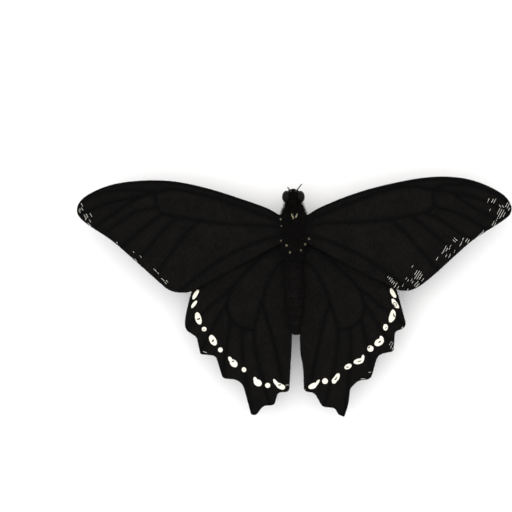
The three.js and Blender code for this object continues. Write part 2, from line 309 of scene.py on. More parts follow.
# Points spread evenly over the faces of a mesh, with their normals
def spreadPoints(mesh, count, rng):
    mesh.calc_loop_triangles()
    points = meshPoints(mesh)
    corners = np.empty(len(mesh.loop_triangles) * 3, dtype=np.int32)
    mesh.loop_triangles.foreach_get("vertices", corners)
    triangles = points[corners.reshape(-1, 3)]
    # operators leave faces in no fixed order, so corners and triangles are sorted by place
    first = np.argmin(triangles @ [1, 0.37, 0.61], axis=1)
    a, b, c = (triangles[np.arange(len(first)), (first + k) % 3] for k in range(3))
    order = np.lexsort(((a + b + c) / 3).round(3).T)
    a, b, c = a[order], b[order], c[order]
    cross = np.cross(b - a, c - a)
    area = np.linalg.norm(cross, axis=1)
    chosen = rng.choice(len(area), size=count, p=area / area.sum())
    u, v = rng.random(count), rng.random(count)
    flip = u + v > 1
    u[flip], v[flip] = 1 - u[flip], 1 - v[flip]
    spot = a[chosen] + (b - a)[chosen] * u[:, None] + (c - a)[chosen] * v[:, None]
    return spot, unit(cross[chosen])


def growHairs(name, roots, leans, curls, lengths, widths, tints, material):
    leans = unit(leans)
    count = len(roots)
    sideways = unit(np.cross(leans, np.array([[0.31, 0.17, 0.93]])))
    other = np.cross(leans, sideways)
    along = hairVerts[:, 2]
    grown = lengths[:, None] * along
    points = roots[:, None] + leans[:, None] * grown[..., None]
    points += curls[:, None] * (grown * along)[..., None]
    spreadOut = sideways[:, None] * hairVerts[:, 0, None] + other[:, None] * hairVerts[:, 1, None]
    points += spreadOut * widths[:, None, None]
    faces = hairFaces[None] + np.arange(count)[:, None, None] * len(hairVerts)
    mesh = bpy.data.meshes.new(name)
    mesh.from_pydata((points.reshape(-1, 3) * mm).tolist(), [], faces.reshape(-1, 3).tolist())
    writeAttribute(mesh, "tint", np.repeat(tints, len(hairVerts)))
    writeAttribute(mesh, "along", np.tile(along, count))
    return finishObject(name, mesh, material)


coatBuild = {"lengths": (0.6, 1.25), "tints": (0, 0.25), "spare": 0.05}


# Hairs on a skin: each ends where it would leave the solid that the coat fills
def coatSkin(name, skin, values, combing, solid, material):
    rng = np.random.default_rng(values["seed"])
    roots, normals = spreadPoints(skin.data, values["count"], rng)
    lay = combing(roots)
    leans = unit(normals * values["lift"] + lay + rng.normal(0, values["mess"], roots.shape))
    curls = lay * values["curl"] + rng.normal(0, values["mess"] / 3, roots.shape)
    lengths = values["length"] * rng.uniform(*coatBuild["lengths"], len(roots))
    reach = unit(leans + curls)
    low, high = values["ends"]  # beyond these the coat runs on over the gap to the next piece
    for i in range(len(roots)):
        hit = solid.ray_cast(Vector(roots[i]), Vector(reach[i]))
        if hit[3] is not None:
            spare = coatBuild["spare"] if low < roots[i][1] < high else values["bridge"]
            lengths[i] = min(lengths[i], hit[3] * values["overshoot"] + spare)
    tints = rng.uniform(*coatBuild["tints"], len(roots))
    widths = np.full(len(roots), values["width"])
    return growHairs(name, roots, leans, curls, lengths, widths, tints, material)


# Wings: shapes
wingBuild = {
    "step": 0.55,  # of the grid that carries the relief
    "thickness": 0.16,
    "inset": 0.14,  # room for the fringe
    "groove": 0.11,  # how far a cell sinks between its veins
    "veinReach": 1.0,
    "mainVein": (0.24, 0.13),  # radius at the base and at the tip
    "branchVein": (0.15, 0.09),
    "veinRise": 0.09,
    "veinSide": 0.5,  # reach of the darker colour along a vein
    "edgeSide": 2.5,  # and along the edge
}
halfSpan = 50
foreWing = {"base": 8.9, "rise": 0.05, "droop": 1.6,
            "arch": 0.004, "archLine": 13, "archSweep": 0.06}
hindWing = {"base": 7.5, "rise": 0.035, "droop": 0.002, "droopFrom": -8,
            "fold": 0.8, "foldWidth": 3}


def foreHeight(x, y):
    out = abs(x)
    across = y - foreWing["archLine"] - foreWing["archSweep"] * out
    droop = foreWing["droop"] * (out / halfSpan) ** 3
    return foreWing["base"] + foreWing["rise"] * out - droop - foreWing["arch"] * across ** 2


def hindHeight(x, y):
    out = abs(x)
    behind = min(0, y - hindWing["droopFrom"])
    fold = hindWing["fold"] * math.exp(-((out / hindWing["foldWidth"]) ** 2))
    return hindWing["base"] + hindWing["rise"] * out - hindWing["droop"] * behind ** 2 - fold


# Outlines: corners [x, y, reach], rounded from that far before to that far after the corner
foreLeftOutline = [
    [-1.2, 17.4, 0], [-6, 20.75], [-13, 23.1], [-19.9, 25.35], [-28.2, 27.1], [-35.9, 27.1],
    [-42.6, 26.15], [-48.2, 23.6], [-50.15, 21.3], [-50.15, 18.9], [-47.9, 16.75],
    [-42.1, 13.15, 3], [-28.5, 1, 2.2], [-24.2, 0.95, 1.2], [-14, 6.5], [-1.2, 13.4, 0],
]
foreRightOutline = [
    [1.2, 17.6, 0], [5.4, 20.75], [13.1, 23.85], [19.3, 25.75], [30, 27.95], [37.8, 27.95],
    [43.3, 26.5], [48.5, 23.8], [50.1, 21.25], [50.1, 19.8], [49.3, 18.25], [41.9, 13.7],
    [39.2, 11.55], [30.65, 3.55], [26.9, 1.3], [24.2, 1.45, 1], [14, 6.5], [1.2, 13.4, 0],
]
hindLeftOutline = [
    [-1.2, 12.8, 0], [-8, 13], [-15, 11], [-21, 6.6], [-23.1, 4], [-25.35, -4.2],
    [-25.3, -7.5, 1.2], [-22.6, -9.25, 0.6], [-21.75, -13.2, 0.5], [-18.2, -13.6, 0.8],
    [-16.6, -18.8, 0.9], [-13.3, -19.1, 1], [-11.9, -20.3, 1.2], [-10.4, -25.9, 1],
    [-10.1, -27.25, 1.1], [-8.7, -27.35, 0.7], [-7.1, -25.15, 0.9], [-4.5, -25.05, 0.9],
    [-3.65, -22.1, 0.7], [-1, -21.95, 1.1], [-0.75, -16.5, 3], [-0.38, -10, 2], [-0.4, 5, 0],
]
hindRightOutline = [
    [1.2, 12.8, 0], [8, 13], [15, 11], [21, 6.6], [23.1, 4.3], [26.1, -6.85, 1.5],
    [23.35, -8, 0.6], [23, -12.6, 0.9], [19.4, -13.25, 1.4], [17.75, -19.05, 1.3],
    [14.9, -19.25, 1], [13.05, -21.05, 0.6], [12.6, -25, 1.5], [11.6, -27.75, 0.3],
    [10.2, -27.25, 0.5], [9.25, -25.7, 0.4], [6.4, -25.4, 0.9], [5.3, -23.4, 0.5],
    [4.6, -22.2, 0.7], [2.1, -21.8, 1], [1.98, -16.2, 2], [1.25, -12.9, 1.2], [1.2, -8, 0],
    [1, 5, 0],
]
foreLeftVeins = {
    "main": [
        [[-2, 17.6], [-6, 20.2], [-13, 22.7], [-20, 24.85], [-28, 26.5], [-35, 26.7],
        [-42, 25.6]], [[-2, 17.3], [-9, 19.6], [-16, 22.2], [-22, 23.9], [-28, 24.9],
        [-32.2, 24.1]], [[-2, 16.2], [-8, 16.7], [-16, 17], [-24, 18], [-30.4, 19.2]],
    ],
    "branch": [
        [[-31.6, 24.3], [-35, 24.8], [-40, 24.75], [-45.5, 23.9], [-49.4, 21.6]], [[-31.8, 24.1],
        [-40, 22.4], [-45, 20.9], [-51, 18.2]], [[-35.2, 23.3], [-38.5, 21.4], [-43, 18.3],
        [-47.6, 15.2]], [[-32.1, 24.3], [-31.7, 21.6], [-30.5, 19]], [[-31.6, 20.9], [-36, 19.9],
        [-39, 18.2], [-45.4, 13.4]], [[-30, 19.3], [-33.5, 16.9], [-41.4, 10.2]], [[-26.9, 18.6],
        [-30, 15.6], [-37.6, 6.8]], [[-21.4, 17.9], [-25, 14.6], [-33.4, 3.4]], [[-2, 14.8],
        [-10, 12.2], [-18, 8], [-27.6, 0.6]],
    ],
}
foreRightVeins = {
    "main": [
        [[2, 17.8], [5.4, 20.2], [13, 23.4], [20, 25.3], [28, 26.95], [35, 27.4], [42, 26.3]],
        [[2, 17.4], [9, 20.2], [16, 23], [22, 24.9], [27, 25.6], [31.7, 24.9]], [[2, 16.3],
        [8, 17.2], [15, 17.4], [22, 18.1], [30.2, 19.5]],
    ],
    "branch": [
        [[31.1, 24.8], [35, 26], [41, 25.8], [46, 24], [49.6, 21.6]], [[31.4, 24.9], [37, 24.1],
        [44, 22.2], [51, 18.9]], [[36.2, 24.2], [39.5, 21.8], [43.5, 19.4], [50, 16.4]],
        [[31.8, 25.1], [32, 21.3], [30.3, 19.3]], [[32.2, 21], [37.5, 19.4], [41, 17.6],
        [46.6, 14.2]], [[29.9, 19.6], [33.5, 18], [37, 15.6], [43.2, 11.6]], [[26.6, 18.8],
        [30, 16.4], [39.4, 8.4]], [[22, 18.1], [25.6, 14.8], [34.8, 4.2]], [[2, 14.8], [10, 12.2],
        [18, 8], [28, 0.8]],
    ],
}
hindLeftVeins = {
    "main": [
        [[-1.5, 11.4], [-8, 11.6], [-14, 8.6], [-20, 3.6], [-26, -2.6]], [[-1.5, 9.6], [-5, 5.6],
        [-7.6, -1], [-9.4, -7.6]],
    ],
    "branch": [
        [[-5, 11.4], [-10, 7], [-14, 2.6], [-15.6, -1.6]], [[-14, 2.6], [-19, -1.8],
        [-26.2, -7.8]], [[-15.5, -1.2], [-18.6, -6.6], [-22.4, -14]], [[-15.7, -1.3], [-14.6, -5],
        [-12, -7], [-9.2, -7.5]], [[-14.6, -5], [-15.6, -11], [-16.9, -19.8]], [[-12, -7],
        [-11.8, -14], [-9.6, -28]], [[-9.3, -7.1], [-8.6, -14], [-5.2, -26]], [[-7.6, -1],
        [-5.4, -8], [-3.6, -15], [-2, -22.6]],
    ],
}
hindRightVeins = {
    "main": [
        [[1.5, 11.4], [8, 11.6], [14, 8.6], [20, 3.6], [26.4, -2.6]], [[1.5, 9.6], [5.2, 5.6],
        [8.2, -1], [10.2, -7.6]],
    ],
    "branch": [
        [[5, 11.4], [10, 7], [14.4, 2.6], [16.2, -1.6]], [[14.4, 2.6], [19.4, -1.6], [27, -7.4]],
        [[16.1, -1.2], [19.4, -6.4], [24, -13.4]], [[16.3, -1.3], [15.4, -5], [12.8, -7],
        [10, -7.5]], [[15.4, -5], [16.8, -11], [18.6, -20]], [[12.8, -7], [13, -14],
        [11.5, -28.6]], [[10.1, -7.1], [9.6, -14], [6.6, -26.4]], [[8.2, -1], [6.2, -8],
        [4.8, -15], [3, -22.8]],
    ],
}


def softOutline(corners, steps=7):
    points = []
    for i, corner in enumerate(corners):
        here = Vector(corner[:2])
        reach = corner[2] if len(corner) > 2 else math.inf
        ends = []
        for step in (-1, 1):
            edge = Vector(corners[(i + step) % len(corners)][:2]) - here
            ends.append(here + edge.normalized() * min(reach, edge.length / 2))
        for k in range(steps + 1 if reach > 0 else 1):
            t = k / steps
            point = (1 - t) ** 2 * ends[0] + 2 * t * (1 - t) * here + t ** 2 * ends[1]
            if not points or (point - points[-1]).length > 0.04:
                points.append(point)
    if (points[0] - points[-1]).length < 0.04:
        points.pop()
    return points


def outwards(points):
    turns = sum(a.x * b.y - a.y * b.x for a, b in zip(points, points[1:] + points[:1]))
    sign = 1 if turns > 0 else -1
    normals = []
    for i, point in enumerate(points):
        run = points[(i + 1) % len(points)] - points[i - 1]
        normals.append(Vector((run.y, -run.x)).normalized() * sign)
    return normals


def isInside(point, outline):
    inside = False
    for a, b in zip(outline, outline[1:] + outline[:1]):
        if (a.y > point.y) != (b.y > point.y):
            if point.x < a.x + (point.y - a.y) / (b.y - a.y) * (b.x - a.x):
                inside = not inside
    return inside


def flatTree(points):
    tree = KDTree(len(points))
    for i, point in enumerate(points):
        tree.insert((point.x, point.y, 0), i)
    tree.balance()
    return tree


def makeWing(node, corners, veins, height, scales):
    outline = softOutline(corners)
    rim = [p - n * wingBuild["inset"] for p, n in zip(outline, outwards(outline))]
    veinPaths = []
    nearVein = []
    for kind in ("main", "branch"):
        for points in veins[kind]:
            path = [p for p in smoothPath(points, 0.7) if isInside(p, rim)]
            veinPaths.append((path, wingBuild[kind + "Vein"]))
            nearVein += smoothPath(points, 0.25)
    veinTree, edgeTree = flatTree(nearVein), flatTree(outline)

    def surface(x, y):
        away = veinTree.find((x, y, 0))[2] / wingBuild["veinReach"]
        return height(x, y) - wingBuild["groove"] * (1 - math.exp(-away ** 2))

    bm = bmesh.new()
    bm.faces.new([bm.verts.new((p.x, p.y, 0)) for p in rim])
    for axis in (0, 1):
        normal = Vector((axis == 0, axis == 1, 0))
        low, high = min(p[axis] for p in rim), max(p[axis] for p in rim)
        for place in np.arange(low + 0.3, high, wingBuild["step"]):
            bmesh.ops.bisect_plane(bm, geom=bm.verts[:] + bm.edges[:] + bm.faces[:],
                                   plane_co=normal * place, plane_no=normal)
    bmesh.ops.triangulate(bm, faces=[f for f in bm.faces if len(f.verts) > 4])
    for vert in bm.verts:
        vert.co.z = surface(vert.co.x, vert.co.y) + wingBuild["thickness"] / 2
    made = bmesh.ops.extrude_face_region(bm, geom=bm.faces[:])["geom"]
    lower = [g for g in made if isinstance(g, bmesh.types.BMVert)]
    bmesh.ops.translate(bm, vec=(0, 0, -wingBuild["thickness"]), verts=lower)
    for path, (thick, thin) in veinPaths:
        radii = np.linspace(thick, thin, len(path))
        rise = wingBuild["veinRise"]
        raised = [(p.x, p.y, surface(p.x, p.y) + rise) for p in path]
        sweepTube(bm, raised, radii, 8)
    piece = finishMesh(node + "_membrane", bm, scales)

    points = meshPoints(piece.data)
    for kind, tree in (("vein", veinTree), ("edge", edgeTree)):
        side = wingBuild[kind + "Side"]
        near = [math.exp(-(tree.find((x, y, 0))[2] / side) ** 2) for x, y, z in points]
        writeAttribute(piece.data, kind + "Near", near)
    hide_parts(node)
    return piece, outline, surface


# Wings: pale spots
# [x, y, half length, half width, turn in degrees, bend]
spotsRight = [
    [22.72, 0.95, 1.2, 0.46, -60, 0.08], [23.22, -1.48, 1.3, 0.5, -55, 0.1],
    [22.62, -4.35, 1.5, 0.69, 75, 0.2], [21.02, -6.9, 0.74, 0.53, 90, 0],
    [19.55, -10.35, 1.12, 0.76, 30, 0], [20.15, -9.7, 0.86, 0.44, 105, 0],
    [17.54, -11.81, 0.71, 0.7, 0, 0], [14.87, -14.75, 1.2, 0.62, 14, 0.08],
    [15.8, -14.0, 0.75, 0.34, 82, 0], [12.4, -15.95, 0.88, 0.55, 30, 0],
    [9.75, -18.6, 1.18, 0.56, 57, 0.12], [9.25, -19.2, 0.72, 0.55, 70, 0],
    [7.1, -19.33, 0.66, 0.66, 0, 0], [4.3, -20.48, 1.08, 0.6, 27, 0.1],
    [5.3, -19.72, 0.86, 0.3, 60, -0.1],
]
spotsLeft = [
    [-22.76, 0.67, 1.28, 0.42, 59, -0.05], [-23.1, -1.57, 1.02, 0.35, 53, -0.05],
    [-22.13, -4.86, 1.42, 0.68, -75, 0.05], [-20.78, -7.3, 0.55, 0.5, 0, 0],
    [-18.77, -9.9, 1.3, 0.74, -62, 0.05], [-17.04, -12.1, 0.53, 0.54, 0, 0],
    [-13.98, -15.2, 1.02, 0.74, -45, 0], [-14.7, -14.4, 0.82, 0.42, -62, 0],
    [-11.6, -16.68, 0.58, 0.5, -70, 0], [-8.42, -19.7, 0.98, 0.74, -28, 0],
    [-8.95, -19.1, 0.75, 0.42, -70, 0], [-6.13, -20.32, 0.6, 0.56, 0, 0],
    [-4.15, -19.82, 1.15, 0.38, -50, 0.12], [-3.25, -20.52, 1.1, 0.6, -28, 0.12],
    [-2.72, -20.75, 0.62, 0.58, -20, 0],
]
# The marks in them: the same, and then 1 for dark or 0 for pale again
marks = [
    [23.2, -1.6, 0.56, 0.42, -50, 0, 1], [23.2, -1.6, 0.4, 0.25, -50, 0, 0],
    [23.2, -1.62, 0.14, 0.1, -50, 0, 1], [22.95, -4.15, 0.5, 0.15, -72, 0.14, 1],
    [21.15, -7.0, 0.26, 0.12, 60, 0, 1], [19.7, -10.25, 0.36, 0.18, 30, 0, 1],
    [17.25, -11.55, 0.4, 0.14, 35, 0.06, 1], [15.05, -14.75, 0.5, 0.13, 10, 0.12, 1],
    [12.25, -16.1, 0.4, 0.13, -5, 0.05, 1], [9.72, -18.55, 0.36, 0.12, 50, 0, 1],
    [9.5, -18.95, 0.34, 0.12, 20, 0, 1], [-22.05, -5.0, 0.46, 0.19, 20, 0.1, 1],
    [-20.8, -7.4, 0.22, 0.12, 60, 0, 1], [-18.75, -10.0, 0.38, 0.2, 45, 0.05, 1],
    [-14.1, -14.75, 0.32, 0.16, 20, 0, 1], [-3.4, -20.25, 0.42, 0.15, 5, 0.1, 1],
]
# [x, y, reach across, reach along, turn of the strokes in degrees]
flecksRight = [
    [44.68, 22.5, 0.35, 0.45, 65], [45.85, 22.3, 0.4, 0.6, 62], [45.03, 20.27, 0.14, 0.35, 65],
    [47.6, 21.0, 0.45, 0.4, -55], [49.15, 21.5, 0.55, 0.8, 62], [49.4, 20.4, 0.2, 0.4, 60],
    [47.5, 19.3, 1.0, 1.0, 62], [46.7, 18.2, 0.3, 0.4, 62], [45.85, 16.85, 0.5, 0.55, 62],
    [42.65, 14.45, 0.12, 1.1, 43], [43.3, 15.1, 0.3, 0.35, 60], [39.75, 13.0, 0.5, 0.5, 60],
    [38.8, 13.5, 0.14, 0.4, 65], [37.08, 13.05, 0.6, 0.45, -40], [38.2, 12.2, 0.22, 0.5, 62],
    [36.85, 10.7, 0.14, 0.35, 70], [35.75, 11.5, 0.35, 0.65, 66], [34.85, 11.2, 0.5, 0.7, 62],
    [34.15, 10.4, 0.14, 0.35, 50], [35.6, 9.4, 0.3, 0.45, 66], [34.8, 9.45, 0.12, 0.3, 62],
    [32.8, 8.95, 0.14, 0.35, 60], [27.1, 7.1, 0.2, 0.3, 60], [28.5, 5.2, 0.9, 0.95, 57],
    [27.1, 3.8, 0.5, 0.35, 55], [29.6, 4.2, 0.2, 0.35, 55], [28.15, 2.95, 0.5, 0.7, 48],
    [25.75, 4.35, 0.2, 0.35, 58], [26.2, 4.0, 0.14, 0.2, 58], [22.4, 3.8, 1.4, 0.45, 52],
    [23.3, 2.75, 0.3, 0.4, 55], [24.0, 2.5, 0.3, 0.35, 55], [24.9, 2.6, 0.35, 0.45, 62],
    [26.1, 1.9, 0.2, 0.35, 60],
]
flecksLeft = [
    [-48.85, 21.3, 0.25, 0.45, -62], [-49.1, 20.4, 0.5, 0.35, -62], [-49.3, 19.6, 0.2, 0.4, -60],
    [-47.95, 18.75, 0.55, 0.6, -62], [-46.75, 18.9, 0.2, 0.4, -60],
    [-47.05, 17.7, 0.22, 0.35, -60], [-48.0, 17.95, 0.3, 0.3, 60], [-47.3, 16.9, 0.16, 0.55, -48],
    [-40.8, 12.6, 0.1, 0.25, -55], [-37.1, 10.6, 0.1, 0.25, -55], [-35.2, 9.2, 0.16, 0.3, -50],
    [-36.6, 8.75, 0.1, 0.4, -50], [-31.7, 5.95, 0.1, 0.95, -47], [-30.2, 4.05, 0.1, 0.55, -38],
    [-29.4, 3.45, 0.5, 0.35, -50],
]
hindFlecksRight = [
    [24.85, -6.95, 0.25, 0.25, 60], [22.4, -10.6, 0.5, 0.5, 60], [22.5, -11.6, 0.5, 0.4, 60],
    [21.7, -12.7, 0.14, 0.4, 28], [17.5, -17.25, 0.1, 0.3, 20], [15.8, -18.8, 0.12, 0.75, -2],
    [2.6, -21.3, 0.22, 0.2, 45],
]
hindFlecksLeft = [
    [-20.65, -12.6, 0.12, 0.55, -18], [-1.5, -20.25, 0.3, 0.4, 8],
]


fleckBuild = {
    "gap": 0.5,  # from stroke to stroke
    "scale": 0.3,  # length of one scale; a stroke is a row of them
    "overlap": 1.4,  # length of a scale over its share of the stroke
    "width": 0.066,
    "lift": 0.02,
    "slip": 0.25,  # how far a stroke may slide along itself
    "lengths": (0.75, 1.2),
    "rounding": (0.1, 0.2),  # strokes grow shorter towards the ends of a patch, but not to nothing
    "tints": (0.7, 1),
}


# Pale flecks: short scales in slanted strokes side by side on the wing
def layFlecks(name, rows, surface, material, seed):
    rng = np.random.default_rng(seed)
    roots, leans, lengths = [], [], []
    lift = wingBuild["thickness"] / 2 + fleckBuild["lift"]
    wider, least = fleckBuild["rounding"]
    slip = fleckBuild["slip"]
    for x, y, across, along, turn in rows:
        run = Vector((math.cos(math.radians(turn)), math.sin(math.radians(turn))))
        aside = Vector((-run.y, run.x))
        count = max(1, round(2 * across / fleckBuild["gap"]))
        for k in range(count):
            shift = (k + 0.5 - count / 2) * fleckBuild["gap"]
            half = along * math.sqrt(max(least, 1 - (shift / (across + wider)) ** 2))
            half *= rng.uniform(*fleckBuild["lengths"])
            middle = Vector((x, y)) + aside * shift + run * rng.uniform(-slip, slip)
            start, stop = middle - run * half, middle + run * half
            scales = max(1, round(2 * half / fleckBuild["scale"]))
            for i in range(scales):
                places = i, i + fleckBuild["overlap"]
                a, b = (start.lerp(stop, place / scales) for place in places)
                a, b = (Vector((*p, surface(*p) + lift)) for p in (a, b))
                roots.append(a)
                leans.append((b - a).normalized())
                lengths.append((b - a).length)
    count = len(roots)
    widths = np.full(count, fleckBuild["width"])
    tints = rng.uniform(*fleckBuild["tints"], count)
    return growHairs(name, np.array(roots), np.array(leans), np.zeros((count, 3)),
                     np.array(lengths), widths, tints, material)


fringeBuild = {
    "length": 0.3, "gap": 0.05, "width": 0.035, "seed": 11, "mess": 0.16,
    "sunk": 0.02,  # how far the roots stand inside the edge
    "lengths": (0.75, 1.15), "tints": (0, 0.35),
}


# Fringe: one row of narrow scales along the free edge
def growFringe(name, outline, surface, isFree, material):
    rng = np.random.default_rng(fringeBuild["seed"])
    normals = outwards(outline)
    inset = fringeBuild["length"] + fringeBuild["sunk"]
    roots, leans = [], []
    for i, point in enumerate(outline):
        ahead = outline[(i + 1) % len(outline)]
        for k in range(max(1, round((ahead - point).length / fringeBuild["gap"]))):
            spot = point.lerp(ahead, rng.random())
            if not isFree(spot):
                continue
            inner = spot - normals[i] * inset
            roots.append((inner.x, inner.y, surface(inner.x, inner.y)))
            leans.append((normals[i].x, normals[i].y, 0))
    roots, leans = np.array(roots), np.array(leans)
    leans = leans + rng.normal(0, fringeBuild["mess"], leans.shape) * [1, 1, 0.5]
    count = len(roots)
    lengths = fringeBuild["length"] * rng.uniform(*fringeBuild["lengths"], count)
    widths = np.full(count, fringeBuild["width"])
    tints = rng.uniform(*fringeBuild["tints"], count)
    return growHairs(name, roots, leans, np.zeros((count, 3)), lengths, widths, tints, material)


wingLook = {
    "deep": (0.001, 0.0009, 0.0009, 1),
    "brown": (0.0052, 0.0045, 0.0038, 1),
    "vein": (0.0006, 0.0005, 0.0005, 1),
    "ivory": (0.88, 0.85, 0.76, 1),
    "ivoryShade": (0.74, 0.69, 0.55, 1),
    "mark": (0.012, 0.01, 0.008, 1),
}


def wingMaterial(name, turn, spots, marks):
    material, tree, shader, point = startMaterial(
        name, Sheen_Weight=0.025, Sheen_Roughness=0.45, Specular_IOR_Level=0.05)
    strokes = useGroup(tree, strokeGroup, {"Point": point, "Turn": turn, "Fineness": (9, 1.1, 1)})
    rowValues = {"Point": point, "Turn": turn, "Fineness": (5, 26, 5), "Detail": 1.0}
    rows = useGroup(tree, strokeGroup, rowValues)
    cloud = useGroup(tree, wearGroup, {"Point": point, "Scale": 0.22, "Amount": 0.75})
    # dark along the veins and the edge, browner in the cells
    shade = calc(tree, "MULTIPLY_ADD", cloud, 0.35, remap(tree, strokes, 0.32, 0.72, 0.0, 0.8))
    edgeShade = calc(tree, "MULTIPLY", readAttribute(tree, "edgeNear"), 0.3)
    shade = calc(tree, "MULTIPLY", shade, calc(tree, "SUBTRACT", 1.0, edgeShade))
    colour = mixColours(tree, shade, wingLook["deep"], wingLook["brown"])
    colour = mixColours(tree, readAttribute(tree, "veinNear"), colour, wingLook["vein"])

    uneven = calc(tree, "SUBTRACT", noiseValue(tree, point, 5.0, 3.0, 0.6), 0.5)
    ragged = calc(tree, "MULTIPLY", uneven, 0.32)

    def patch(x, y, long, wide, angle, bend, edge):
        return useGroup(tree, patchGroup, {
            "Point": point, "Centre": (x, y, 0), "Turn": math.radians(angle),
            "Size": (long, wide, 1), "Bend": bend, "Ragged": edge})

    if spots:
        pale = patch(*spots[0], ragged)
        for spot in spots[1:]:
            pale = calc(tree, "MAXIMUM", pale, patch(*spot, ragged))
        speckle = remap(tree, rows, 0.35, 0.7)
        ivory = mixColours(tree, speckle, wingLook["ivory"], wingLook["ivoryShade"])
        moreRagged = calc(tree, "MULTIPLY", ragged, 1.4)
        for *mark, dark in marks:
            mask = patch(*mark, moreRagged)
            ivory = mixColours(tree, mask, ivory, wingLook["mark" if dark else "ivory"])
        colour = mixColours(tree, pale, colour, ivory)
    height = calc(tree, "MULTIPLY_ADD", rows, 0.5, strokes)
    roughness = remap(tree, strokes, 0.2, 0.8, 0.85, 0.66)
    finishShader(tree, shader, colour, roughness, (height, 0.05, 0.7))
    return material


# Materials
looks = {
    "blackHair": {"dark": (0.0035, 0.003, 0.003, 1), "light": (0.013, 0.0105, 0.0085, 1),
                  "pale": (0.62, 0.56, 0.38, 1)},
    "paleScales": {"dark": (0.4, 0.37, 0.3, 1), "light": (0.6, 0.56, 0.47, 1),
                   "pale": (0.9, 0.88, 0.8, 1)},
    # grain is how fine it is per millimetre, gloss the least roughness
    "bodySkin": {"dark": (0.003, 0.0027, 0.0025, 1), "light": (0.009, 0.0075, 0.006, 1),
                 "gloss": 0.6, "grain": 9.0, "shine": 0.12},
    "legCuticle": {"dark": (0.006, 0.005, 0.0045, 1), "light": (0.024, 0.018, 0.013, 1),
                   "gloss": 0.38, "grain": 11.0, "shine": 0.35},
    "feelerCuticle": {"dark": (0.006, 0.005, 0.004, 1), "light": (0.03, 0.021, 0.013, 1),
                      "gloss": 0.42, "grain": 9.0, "shine": 0.3},
    "eyeCornea": {"dark": (0.0016, 0.0011, 0.0008, 1), "light": (0.006, 0.0037, 0.0024, 1),
                  "edge": (0.002, 0.0015, 0.001, 1), "facets": 9.0},
}


def hairMaterial(name):
    look = looks[name]
    material, tree, shader, point = startMaterial(name, Specular_IOR_Level=0.08)
    tint = readAttribute(tree, "tint")
    cloud = noiseValue(tree, point, 1.4, 3.0)
    patchy = remap(tree, cloud, 0.35, 0.7, 0.3, 1.0)
    warm = calc(tree, "MULTIPLY", remap(tree, tint, 0.0, 0.4), patchy)
    colour = mixColours(tree, warm, look["dark"], look["light"])
    colour = mixColours(tree, remap(tree, tint, 0.55, 0.75), colour, look["pale"])
    towardsTip = calc(tree, "MULTIPLY", readAttribute(tree, "along"), 0.35)
    colour = mixColours(tree, towardsTip, colour, (0.5, 0.5, 0.5, 1), "SOFT_LIGHT")
    finishShader(tree, shader, colour, remap(tree, cloud, 0.2, 0.8, 0.5, 0.72))
    return material


def cuticleMaterial(name):
    look = looks[name]
    material, tree, shader, point = startMaterial(name, Specular_IOR_Level=look["shine"])
    grains = noiseValue(tree, point, look["grain"], 4.0, 0.65)
    worn = useGroup(tree, wearGroup, {"Point": point, "Scale": 0.8, "Amount": 0.6})
    colour = mixColours(tree, remap(tree, grains, 0.35, 0.7), look["dark"], look["light"])
    colour = mixColours(tree, calc(tree, "MULTIPLY", worn, 0.5), colour, look["light"])
    roughness = remap(tree, grains, 0.2, 0.8, look["gloss"], look["gloss"] + 0.2)
    finishShader(tree, shader, colour, roughness, (grains, 0.03, 0.6))
    return material


def eyeMaterial(name):
    look = looks[name]
    material, tree, shader, point = startMaterial(
        name, Coat_Weight=0.02, Coat_Roughness=0.2, Specular_IOR_Level=0.07)
    facetValues = {"Vector": point, "Scale": look["facets"], "Randomness": 0.3}
    facets = addNode(tree, "TexVoronoi", facetValues).outputs["Distance"]
    cloud = noiseValue(tree, point, 1.1, 3.0)
    colour = mixColours(tree, remap(tree, cloud, 0.3, 0.7), look["dark"], look["light"])
    seam = calc(tree, "MULTIPLY", remap(tree, facets, 0.2, 0.55), 0.6)
    colour = mixColours(tree, seam, colour, look["edge"])
    height = calc(tree, "SUBTRACT", 1.0, facets)
    roughness = remap(tree, cloud, 0.3, 0.7, 0.34, 0.48)
    finishShader(tree, shader, colour, roughness, (height, 0.05, 0.8))
    return material


blackHair, paleScales = hairMaterial("blackHair"), hairMaterial("paleScales")
bodySkin = cuticleMaterial("bodySkin")
legCuticle = cuticleMaterial("legCuticle")
feelerCuticle = cuticleMaterial("feelerCuticle")
eyeCornea = eyeMaterial("eyeCornea")
foreScales = wingMaterial("forewingScales", 0.0, [], [])
marksRight, marksLeft = [m for m in marks if m[0] > 0], [m for m in marks if m[0] < 0]
hindScalesRight = wingMaterial("hindwingScalesRight", 0.15, spotsRight, marksRight)
hindScalesLeft = wingMaterial("hindwingScalesLeft", -0.15, spotsLeft, marksLeft)
print("materials made")

# Wings: pieces
wings = {
    "forewing_left": (foreLeftOutline, foreLeftVeins, foreHeight, foreScales, flecksLeft),
    "forewing_right": (foreRightOutline, foreRightVeins, foreHeight, foreScales, flecksRight),
    "hindwing_left": (hindLeftOutline, hindLeftVeins, hindHeight, hindScalesLeft, hindFlecksLeft),
    "hindwing_right": (hindRightOutline, hindRightVeins, hindHeight, hindScalesRight,
                       hindFlecksRight),
}
